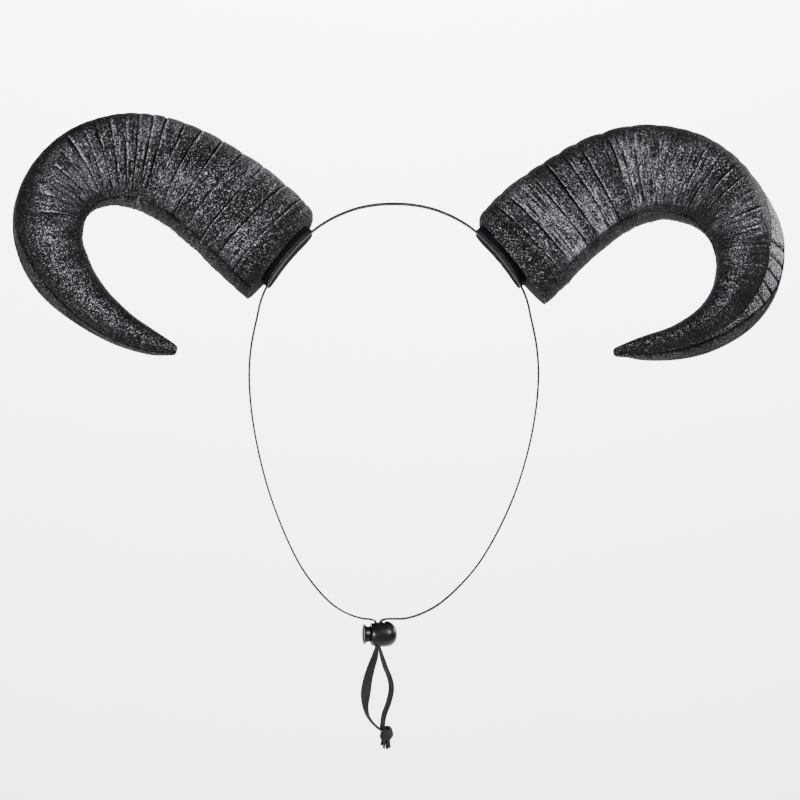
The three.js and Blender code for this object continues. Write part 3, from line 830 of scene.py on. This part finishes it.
# How strong the painted sheen on each horn's planed side face is
SIDE_SHEEN = {"left": 0.0, "right": 0.7}
# How strong the painted highlight along the tip's streak is
STREAK_HIGHLIGHT = {"left": 0.6, "right": 0.3}
# How smooth the rolled rim at the base is
SMOOTH_RIM = {"left": 0.9, "right": 0.2}
# How smooth the inner edge's front is
SMOOTH_INNER = {"left": 0.5, "right": 0.85}
# How strongly fine wrinkles are drawn between the cracks
DRAWN = {
    "left": ((0.0, 0.45), (0.4, 0.45), (0.5, 0.3), (0.8, 0)),
    "right": ((0.0, 0.9), (0.3, 0.9), (0.42, 0.35), (0.6, 0.3), (0.7, 0)),
}
# Distance in from the outer edge, seen from the front, where the grain begins
GRAIN_STARTS = {
    "left": ((0.0, 5), (0.3, 8), (0.42, 9), (0.52, 11), (0.6, 15), (1.0, 8)),
    "right": ((0.0, 7), (0.2, 10), (0.4, 9), (0.55, 7), (0.7, 9), (1.0, 6)),
}
# Painted highlight streak along the tip: its place as a share of the half width, and its width
TIP_STREAK = {"left": (0.97, 0.42), "right": (1.35, 0.28)}
# Distance in from the outer edge, seen from the front, where the cracks begin
CRACK_STARTS = {
    "left": ((0.0, 2), (0.3, 4), (0.42, 7), (0.52, 9), (0.6, 15), (0.7, 17), (1.0, 8)),
    "right": ((0.0, 7), (0.2, 10), (0.4, 10), (0.55, 8), (0.7, 9), (1.0, 6)),
}
# Where the mould's seam lies: degrees toward the front from the outer and the inner edge
SEAM_COLUMNS = ("share", "outer", "inner")
SEAMS = {
    "left": (
        (0.0, 0, 27), (0.3, 0, 27), (0.45, 3, 20), (0.56, 12, 16), (0.61, 22, 14), (0.65, 35, 12),
        (0.7, 40, 12), (0.77, 34, 12), (0.84, 27, 12), (0.91, 30, 12), (1.0, 42, 12),
    ),
    "right": (
        (0.0, 0, 31), (0.3, 0, 28), (0.45, 0, 22), (0.62, 1, 12), (0.68, 4, 11), (0.72, 16, 10),
        (0.76, 36, 10), (0.82, 48, 10), (0.9, 50, 10), (1.0, 50, 10),
    ),
}
# How much of the outer front shoulder is planed off into a side face, by share
SHOULDER = {
    "left": ((0.0, 0), (0.45, 0), (0.62, 0.45), (0.75, 0.5), (0.9, 0), (1.0, 0)),
    "right": ((0.0, 0), (0.47, 0), (0.58, 1), (0.7, 1), (0.82, 0.4), (1.0, 0)),
}
SHOULDER_PLANE = (0.9, 0.45, 0.945)
# Slanting grooves over the side face: their shares along the horn, and mm of slant
SIDE_GROOVES = {"left": (), "right": (0.635, 0.66, 0.684, 0.706, 0.728)}
SIDE_SLANT = -1.5
# Least cosine, round the section, that the side face reaches to, by share
SIDE_REACH = ((0.5, 0.99), (0.54, 0.93), (0.58, 0.78), (0.62, 0.6), (0.66, 0.52), (1.0, 0.52))


def spine_curve(hand, shares):
    """Middle line of a horn in its curl's plane, and its turn, at each share."""
    fine = np.linspace(0, np.max(shares), 4001)
    turn = np.radians(along(HORN_SECTIONS, SECTION_COLUMNS.index(hand), fine))
    middle = (turn[1:] + turn[:-1]) / 2
    step = np.diff(fine) * HORN_LENGTH
    x = np.concatenate([[0], np.cumsum(np.cos(middle) * step)])
    y = np.concatenate([[0], -np.cumsum(np.sin(middle) * step)])
    return [np.interp(shares, fine, values) for values in (x, y, turn)]


def stations(hand):
    """Places along a horn in mm, close together at each crack and at both ends."""
    length = HORN_LENGTH + NUB_LENGTHS[hand]
    fine = np.linspace(0, length, 6001)
    near = bell(fine[:, None] - CRACKS[hand], 0.9).max(axis=1)
    near = np.maximum(near, 0.6 * bell(fine, 4))
    near = np.maximum(near, 0.6 * bell(fine - length, 3))
    density = near / CRACK_SPACING + (1 - near) / PLAIN_SPACING
    count = np.concatenate([[0], np.cumsum((density[1:] + density[:-1]) / 2)])
    return np.interp(np.linspace(0, count[-1], STATIONS), count, fine)


def crack_wander(hand, turn):
    """How far each crack strays along the horn at each turn round it: cracks by turns."""
    seed = HORN_SEEDS[hand]
    rows = []
    for k in range(len(CRACKS[hand])):
        row = np.full_like(turn, k)
        broad = noise(row * 3.7, turn * 4, seed + 1, 4) - 0.5
        middle = noise(row * 5.3, turn * 11, seed + 2, 11) - 0.5
        fine = noise(row * 7.1, turn * 31, seed + 3, 31) - 0.5
        rows.append(WANDER[hand] * broad + 0.8 * middle + 0.35 * fine)
    return np.array(rows)


def warped_places(hand, places, turn):
    """Places of the grid's points, which follow the cracks: stations by turns."""
    cracks = CRACKS[hand]
    knots = np.concatenate([[0, 8], cracks, [cracks[-1] + 25, HORN_LENGTH + 20]])
    wander = crack_wander(hand, turn)
    none = np.zeros((2, len(turn)))
    table = np.vstack([none, wander, none])
    i = np.clip(np.searchsorted(knots, places, side="right") - 1, 0, len(knots) - 2)
    t = ((places - knots[i]) / (knots[i + 1] - knots[i]))[:, None]
    t = t * t * (3 - 2 * t)
    return places[:, None] + table[i] * (1 - t) + table[i + 1] * t


def horn_relief(hand, station, place, turn, inward, half):
    """Height of a horn's surface over its plain section in mm, how grained it is, how strong
    the painted highlights on its crack lips, crests and folds are and how strongly fine wrinkles are drawn on
    it.

    station and place are millimetres along the horn, before and after the grid is bent to
    the cracks. inward is the distance in from the outer edge and half the section's half
    width, in mm, both seen from the front."""
    seed = HORN_SEEDS[hand]
    share = place / HORN_LENGTH
    fade = np.clip(along(GROOVE_FADE, 1, share), 0, 1.2)
    start = along(CRACK_STARTS[hand], 1, share)
    edge_depth = along(EDGE_DEPTH[hand], 1, share)
    ending = 1 - 0.9 * smooth_step(1.8 * half, 1.93 * half, inward)
    outside = 1 - 0.8 * smooth_step(1.2 * half, 1.75 * half, inward)
    grooves = CRACKS[hand]
    ends = np.append(grooves[1:], grooves[-1] + LAST_RIB)
    height = np.zeros(place.shape)
    highlight_and_wear = np.zeros(place.shape)
    for k, (groove, end) in enumerate(zip(grooves, ends)):
        random = lattice(np.array([k, k, k, k]), np.array([0, 1, 2, 3]), seed)
        begin = np.maximum(start + 6 * (random[1] - 0.5), 0.5)
        mask = smooth_step(begin - 3, begin + 4, inward) * ending
        strength = 0.5 + noise(turn * 11 + 5 * random[0], np.full_like(turn, k), seed + 4)
        depth = CRACK_DEPTH[hand] * fade * (0.75 + 0.5 * random[2]) * strength
        d = station - groove
        core = np.exp(-np.abs(d / CRACK_WIDTH) ** 1.6)
        lip = bell(d * LIP_SIDE[hand] - LIP_PLACE, LIP_WIDTH)
        far_lip = bell(d * LIP_SIDE[hand] - FAR_LIP_PLACE, FAR_LIP_WIDTH)
        height += mask * depth * (0.6 * lip + 0.2 * far_lip - core)
        # Painted highlight on the raised lip of each crack that faces the light
        highlight_and_wear += mask * lip * np.clip(depth * 1.4, 0, 1)
        height -= (edge_depth * outside + 0.1 * mask) * depth * bell(d, TROUGH_WIDTH)
        t = np.clip(d / (end - groove), 0, 1)
        pillow = (0.1 + edge_depth) * outside * depth * (4 * t * (1 - t)) ** 0.8
        height += np.where((d > 0) & (d < end - groove), pillow, 0)
    band = smooth_step(0.035, 0.06, share) * (1 - smooth_step(0.7, 0.8, share))
    face = smooth_step(start * 0.5, start + 5, inward)
    arc = turn * 2 * math.pi * half
    warp = 1.8 * noise(place / 11, turn * 9, seed + 5, 9)
    lines = noise(place / 1.15 + warp, turn * 8, seed + 6, 8)
    crest = (1 - np.abs(2 * lines - 1)) ** 2.2
    patch = smooth_step(0.35, 0.75, noise(place / 9, turn * 9, seed + 7, 9))
    height += band * face * (0.5 * crest * (0.2 + 0.8 * patch) - 0.08)
    # Painted highlight on the crests of the fine lines
    highlight_and_wear += 0.7 * band * face * patch * crest
    curl = smooth_step(0.4, 0.5, share) * (1 - smooth_step(0.7, 0.8, share))
    inner = smooth_step(0.8 * half, 1.5 * half, inward)
    folds = noise(place / 2.1 + 0.5 * warp, turn * 5, seed + 8, 5)
    fold = (1 - np.abs(2 * folds - 1)) ** 3
    height += (0.25 + 0.75 * curl) * band * inner * ending * (0.6 * fold - 0.15)
    # Painted highlight on the crests of the folds near the inner edge
    highlight_and_wear += 0.6 * band * inner * ending * fold
    height += 0.7 * (noise(place / 13, turn * 7, seed + 9, 7) - 0.5)
    height += 0.28 * band * face * (noise(place / 1.6, arc / 2.2, seed + 10) - 0.5)
    height -= ROLL_DEPTH * bell(place - ROLL_PLACE, ROLL_WIDTH)
    grain_start = along(GRAIN_STARTS[hand], 1, share)
    grained = smooth_step(grain_start - 6, grain_start + 5, inward) * (0.15 + 0.85 * ending)
    # Less grain, and so fewer painted glints, in the curl's inner part, which lies in shade
    grained *= 1 - 0.8 * curl * smooth_step(0.8 * half, 1.2 * half, inward)
    grained *= 1 - SMOOTH_RIM[hand] * (1 - smooth_step(3.5, 7, place))
    # In the tip, grain and its painted glints keep to the painted highlight streak
    tip = smooth_step(0.56, 0.68, share)
    streak_place, streak_width = TIP_STREAK[hand]
    streak = bell(inward / half - streak_place, streak_width)
    grained = along(GRAIN[hand], 1, share) * (grained * (1 - tip) + streak * tip)
    # Fewer painted highlights in the curl's inner part, which lies in shade
    highlight_and_wear *= 1 - 0.7 * curl * smooth_step(0.9 * half, 1.3 * half, inward)
    # Painted highlight along the tip's streak
    highlight_and_wear += STREAK_HIGHLIGHT[hand] * streak * tip
    bundles = 0.2 + 0.8 * smooth_step(0.35, 0.65, noise(place / 14, turn * 6, seed + 12, 6))
    drawn = along(DRAWN[hand], 1, share) * band * face * ending * bundles
    rim = SMOOTH_INNER[hand] * (1 - smooth_step(0.6, 0.7, share))
    rim = rim * smooth_step(1.6 * half, 1.85 * half, inward)
    return height, grained * (1 - rim), np.clip(highlight_and_wear, 0, 1) * (1 - rim), drawn


def planed(c, s, reach, amount):
    """Reach of a section with its outer front shoulder planed off by an amount from 0 to 1."""
    across, ahead, level = SHOULDER_PLANE
    plane = across * c + ahead * s
    flat = np.where((c > 0.05) & (s > 0) & (plane > 0.05), level / np.maximum(plane, 0.05), 99)
    blunt = (reach ** -14 + flat ** -14) ** (-1 / 14)
    return reach + (blunt - reach) * amount


def horn_piece(hand):
    side, slide, roll = PLACEMENTS[hand]
    nub = NUB_LENGTHS[hand]
    station = stations(hand)
    step = circle(AROUND)
    angles = step - SEAM_CROWDING * np.sin(2 * step) / 2
    turn = np.broadcast_to(angles[None, :] / (2 * math.pi), (STATIONS, AROUND))
    place = warped_places(hand, station, angles / (2 * math.pi))
    share = place / HORN_LENGTH
    x, y, heading = spine_curve(hand, share)
    column = {name: along(HORN_SECTIONS, i, share) for i, name in enumerate(SECTION_COLUMNS)}
    size = np.interp((place - HORN_LENGTH) / nub, NUB_SECTIONS[:, 0], NUB_SECTIONS[:, 1])
    c = np.cos(angles)[None, :]
    s = np.sin(angles)[None, :]
    power = np.where(c > 0, OUTER_ROUNDNESS + SQUARE_GAIN * column["square"], INNER_ROUNDNESS)
    reach = (np.abs(c) ** power + np.abs(s) ** power) ** (-1 / power)
    shoulder = np.clip(along(SHOULDER[hand], 1, share), 0, 1)
    reach = planed(c, s, reach, shoulder)
    half_v = np.where(c > 0, column["outer"], column["inner"]) * HORN_WIDTH / 2 * size
    half_w = np.where(s > 0, column["front"] * HORN_FRONT, column["back"] * HORN_BACK) * size
    v = c * reach * half_v
    w = s * reach * half_w
    inward = np.where(c > 0, half_v - v, column["outer"] * size * HORN_WIDTH / 2 - v)
    relief, grained, highlight_and_wear, drawn = horn_relief(hand, station[:, None], place, turn, inward, half_v)
    small = np.clip(column["outer"] * size * 3, 0.25, 1)
    relief = relief * small * smooth_step(0, 3, place)
    seam_row = {name: np.radians(along(SEAMS[hand], i, share)) for i, name in enumerate(SEAM_COLUMNS)}
    folded = np.mod(angles + math.pi, 2 * math.pi)[None, :] - math.pi
    side_face = shoulder * (folded > seam_row["outer"])
    side_face = side_face * (s > 0) * (c > along(SIDE_REACH, 1, share))
    for groove in SIDE_GROOVES[hand]:
        d = place - groove * HORN_LENGTH - SIDE_SLANT * s / np.maximum(c, 0.1)
        relief = relief - SIDE_GROOVE_DEPTH * side_face * bell(d, SIDE_GROOVE_WIDTH)
    from_outer = folded - seam_row["outer"]
    from_inner = math.pi - seam_row["inner"] - np.mod(folded, 2 * math.pi)
    local_radius = np.sqrt(v**2 + w**2)
    line = bell(from_outer * local_radius, SEAM_WIDTH) + bell(from_inner * local_radius, SEAM_WIDTH)
    behind = smooth_step(0, 0.02, -from_outer) * smooth_step(0, 0.02, np.mod(-from_inner, 2 * math.pi))
    seam = (SEAM_DEPTH * line + SEAM_STEP * behind * (folded < seam_row["outer"])) * small
    scale = (local_radius + relief - seam) / local_radius
    v = v * scale
    w = w * scale + TIP_FORWARD * share**3
    local_y = y + np.cos(heading) * v
    local_z = side * w
    tilt = -side * math.radians(roll)
    forward = x + np.sin(heading) * v
    upward = local_y * math.cos(tilt) - local_z * math.sin(tilt) - slide
    sideways = local_y * math.sin(tilt) + local_z * math.cos(tilt)
    out, up, across, middle = seat_frame(side)
    rings = middle + forward[:, :, None] * out + upward[:, :, None] * up + sideways[:, :, None] * across
    heart = rings[0].mean(axis=0)
    cap = [heart + (rings[:1] - heart) * inset for inset in (0.5, 0.96)]
    piece = tube(f"foam_horn_{hand}", np.vstack(cap + [rings]))
    # The planed side face gets a painted sheen: full grain with glints and painted highlight
    side_sheen = SIDE_SHEEN[hand] * side_face
    grained = np.where(behind > 0.5, 0.2, np.maximum(grained, side_sheen))
    highlight_and_wear = np.maximum(highlight_and_wear, side_sheen) * (behind < 0.5)
    shades = {
        # Low relief in the cracks and the seam is drawn as painted shade
        "relief": np.clip(0.5 + 0.6 * (relief - seam), 0, 1),
        "grained": grained,
        "highlight_and_wear": highlight_and_wear,
        "drawn": drawn * (behind < 0.5),
    }
    for name, values in shades.items():
        # The base cap's rings get zero relief, which draws them in painted shade
        values = np.vstack([0 * values[:2], values])
        attribute = piece.data.attributes.new(name, "FLOAT", "POINT")
        attribute.data.foreach_set("value", np.append(values.ravel(), [0, 0.5]))
    skin = np.stack([place, turn * SKIN_ROUND, np.full_like(place, HORN_SEEDS[hand])], axis=2)
    skin = np.vstack([skin[:1], skin[:1], skin]).reshape(-1, 3)
    attribute = piece.data.attributes.new("skin", "FLOAT_VECTOR", "POINT")
    attribute.data.foreach_set("vector", np.vstack([skin, skin[:1], skin[-1:]]).ravel())
    return set_piece(piece, foam, "horn_foam", f"horn_{hand}")


for hand in PLACEMENTS:
    horn_piece(hand)


# Pads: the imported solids, rounded by a fine remesh

PAD_GRID = 0.26


def pad_piece(hand):
    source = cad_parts[f"base_pad_{hand}"]
    piece = new_object(f"felt_pad_{hand}", source.data.copy())
    piece.matrix_world = source.matrix_world.copy()
    remesh = piece.modifiers.new("remesh", "REMESH")
    remesh.mode = "VOXEL"
    remesh.voxel_size = PAD_GRID * MM
    applied(piece)
    soften = piece.modifiers.new("soften", "SMOOTH")
    soften.factor = 0.5
    soften.iterations = 6
    applied(piece)
    shade(piece.data)
    return set_piece(piece, felt, "pad", f"base_pad_{hand}")


for hand in PLACEMENTS:
    pad_piece(hand)


# Cord lock

LATHE_SIDES = 96


def lathe(name, profile):
    """Solid turned about the lock's axis through pairs of radius and place."""
    angle = circle(LATHE_SIDES)
    rings = [
        BARREL_MIDDLE + place * LOCK_ALONG
        + max(radius, 0.02) * (np.outer(np.cos(angle), LOCK_UP) + np.outer(np.sin(angle), LOCK_ACROSS))
        for radius, place in profile
    ]
    return tube(name, rings)


def slot_cutter(name, outline, half_width):
    """Prism across the lock through an outline of pairs of place and height."""
    points = [
        BARREL_MIDDLE + place * LOCK_ALONG + height * LOCK_UP + side * half_width * LOCK_ACROSS
        for side in (-1, 1)
        for place, height in outline
    ]
    n = len(outline)
    faces = [tuple(range(n)), tuple(range(2 * n - 1, n - 1, -1))]
    faces += [(i, i + n, (i + 1) % n + n, (i + 1) % n) for i in range(n)]
    return new_mesh(name, points, faces, smooth=False)


def cut(obj, *cutters):
    for cutter in cutters:
        modifier = obj.modifiers.new("cut", "BOOLEAN")
        modifier.operation = "DIFFERENCE"
        modifier.solver = "EXACT"
        modifier.object = cutter
        applied(obj)
        bpy.data.objects.remove(cutter)
    return obj


def rounded_profile(points, radius=0.25, steps=3):
    """Profile with its inner corners rounded."""
    points = [np.array(p, float) for p in points]
    result = [points[0]]
    for before, corner, after in zip(points, points[1:], points[2:]):
        reach = min(radius, np.linalg.norm(corner - before) / 2.2, np.linalg.norm(after - corner) / 2.2)
        first = corner + unit(before - corner) * reach
        second = corner + unit(after - corner) * reach
        for t in np.linspace(0, 1, steps + 1):
            result.append((1 - t) ** 2 * first + 2 * t * (1 - t) * corner + t**2 * second)
    return result + [points[-1]]


def barrel_piece():
    half = BARREL_LENGTH / 2
    radius = BARREL_DIAMETER / 2
    end = BARREL_END_DIAMETER / 2
    fullness = 2.35
    profile = [(0, -half)]
    for share in np.sin(np.linspace(-math.pi / 2, math.pi / 2, 49)):
        least = end if share < 0 else 0
        bulge = (1 - abs(share) ** fullness) ** (1 / fullness)
        profile.append((least + (radius - least) * bulge, half * share))
    bore_radius = PLUNGER_DIAMETER / 2 + LOCK_CLEARANCE
    mouth_radius = NECK_DIAMETER / 2 + LOCK_CLEARANCE
    bore_end = LOCK_SHIFT + SLOT_LENGTH / 2 + PLUNGER_END_WALL + PLUNGER_TRAVEL + LOCK_CLEARANCE
    bore = lathe("bore", [
        (0, -half - 2),
        (mouth_radius, -half - 2),
        (mouth_radius, -half - LOCK_CLEARANCE),
        (bore_radius, NECK_LENGTH - half - LOCK_CLEARANCE),
        (bore_radius, bore_end),
        (0, bore_end),
    ])
    reach = SLOT_LENGTH / 2
    wide = reach + MOUTH_FLARE
    mouth = []
    for t in np.linspace(0, 1, 9):
        place = LOCK_SHIFT + reach + (wide - reach) * t**1.6
        mouth.append((place, radius - MOUTH_DEPTH + (MOUTH_DEPTH + 1) * t))
    mirrored = [(2 * LOCK_SHIFT - place, height) for place, height in reversed(mouth)]
    low = [(LOCK_SHIFT - reach, -radius - 2), (LOCK_SHIFT + reach, -radius - 2)]
    slot = slot_cutter("slot", low + mouth + mirrored, SLOT_WIDTH / 2)
    piece = cut(lathe("lock_body", profile), bore, slot)
    hard_edges(piece)
    return set_piece(piece, plastic, "lock_plastic", "lock_barrel")


def plunger_piece():
    radius = PLUNGER_DIAMETER / 2
    flange = FLANGE_DIAMETER / 2
    outer_end = -BARREL_LENGTH / 2 - PLUNGER_TRAVEL - LOCK_CLEARANCE - FLANGE_THICKNESS
    inner_end = LOCK_SHIFT + SLOT_LENGTH / 2 + PLUNGER_END_WALL
    neck_start = outer_end + FLANGE_THICKNESS
    profile = [(0, outer_end + 0.75), (flange - 1.3, outer_end + 0.7), (flange - 0.6, outer_end)]
    profile += [(flange, outer_end), (flange, neck_start), (NECK_DIAMETER / 2 + 0.1, neck_start)]
    for t in np.linspace(0.1, 1, 8):
        profile.append((radius + (NECK_DIAMETER / 2 - radius) * (1 - t), neck_start + NECK_LENGTH * t))
    profile += [(radius, inner_end), (0, inner_end)]
    reach = SLOT_LENGTH / 2
    outline = [
        (LOCK_SHIFT - reach - PLUNGER_TRAVEL, -radius - 2),
        (LOCK_SHIFT + reach, -radius - 2),
        (LOCK_SHIFT + reach, radius + 2),
        (LOCK_SHIFT - reach - PLUNGER_TRAVEL, radius + 2),
    ]
    slot = slot_cutter("plunger_slot", outline, SLOT_WIDTH / 2)
    piece = cut(lathe("push_button", rounded_profile(profile)), slot)
    hard_edges(piece)
    return set_piece(piece, plastic, "lock_plastic", "lock_plunger", body="plunger")


barrel_piece()
plunger_piece()


# Floor, backdrop and lights

def backdrop():
    floor = -2.6
    near = -4.0
    top = 4.0
    back = 3.2
    bend = 0.8
    angle = np.linspace(0, math.pi / 2, 17)
    line = [(near, floor), (back - bend, floor)]
    line += [(back - bend + bend * math.sin(a), floor + bend * (1 - math.cos(a))) for a in angle[1:]]
    line += [(back, top)]
    points = [(x / MM, y / MM, z / MM) for x in (-5, 5) for y, z in line]
    n = len(line)
    faces = [(i, i + 1, i + 1 + n, i + n) for i in range(n - 1)]
    piece = new_mesh("backdrop", points, faces)
    material, tree, shader = node_material("pale_paper", roughness=0.9)
    tint = noise_node(tree, object_coordinates(tree), 3, 2)
    colour = ramp_node(tree, tint, (0.3, (0.93, 0.93, 0.94)), (0.7, (0.95, 0.95, 0.96)))
    tree.links.new(colour, shader.inputs["Base Color"])
    piece.data.materials.append(material)


def area_light(name, place, target, size, energy):
    data = bpy.data.lights.new(name, "AREA")
    data.shape = "RECTANGLE"
    data.size, data.size_y = size
    data.energy = energy
    obj = new_object(name, data)
    forward = Vector(target) - Vector(place)
    obj.location = place
    obj.rotation_euler = forward.to_track_quat("-Z", "Y").to_euler()
    obj.visible_camera = False


backdrop()
area_light("key", (-0.85, -1.5, -0.25), (0, 0, -0.02), (0.5, 0.5), 39)
area_light("front", (1.15, -1.4, 0.45), (0.12, 0, -0.05), (0.5, 0.5), 38)
area_light("side_right", (0.95, 0.5, 0.32), (0.15, 0, -0.02), (0.5, 0.8), 22)
area_light("wash", (0, 1.4, 1.6), (0, 3.2, 0.3), (3.0, 1.2), 600)
world = bpy.data.worlds.new("world")
world.use_nodes = True
sky = world.node_tree.nodes["Background"]
sky.inputs["Color"].default_value = (1, 1, 1, 1)
sky.inputs["Strength"].default_value = 0.16
bpy.context.scene.world = world
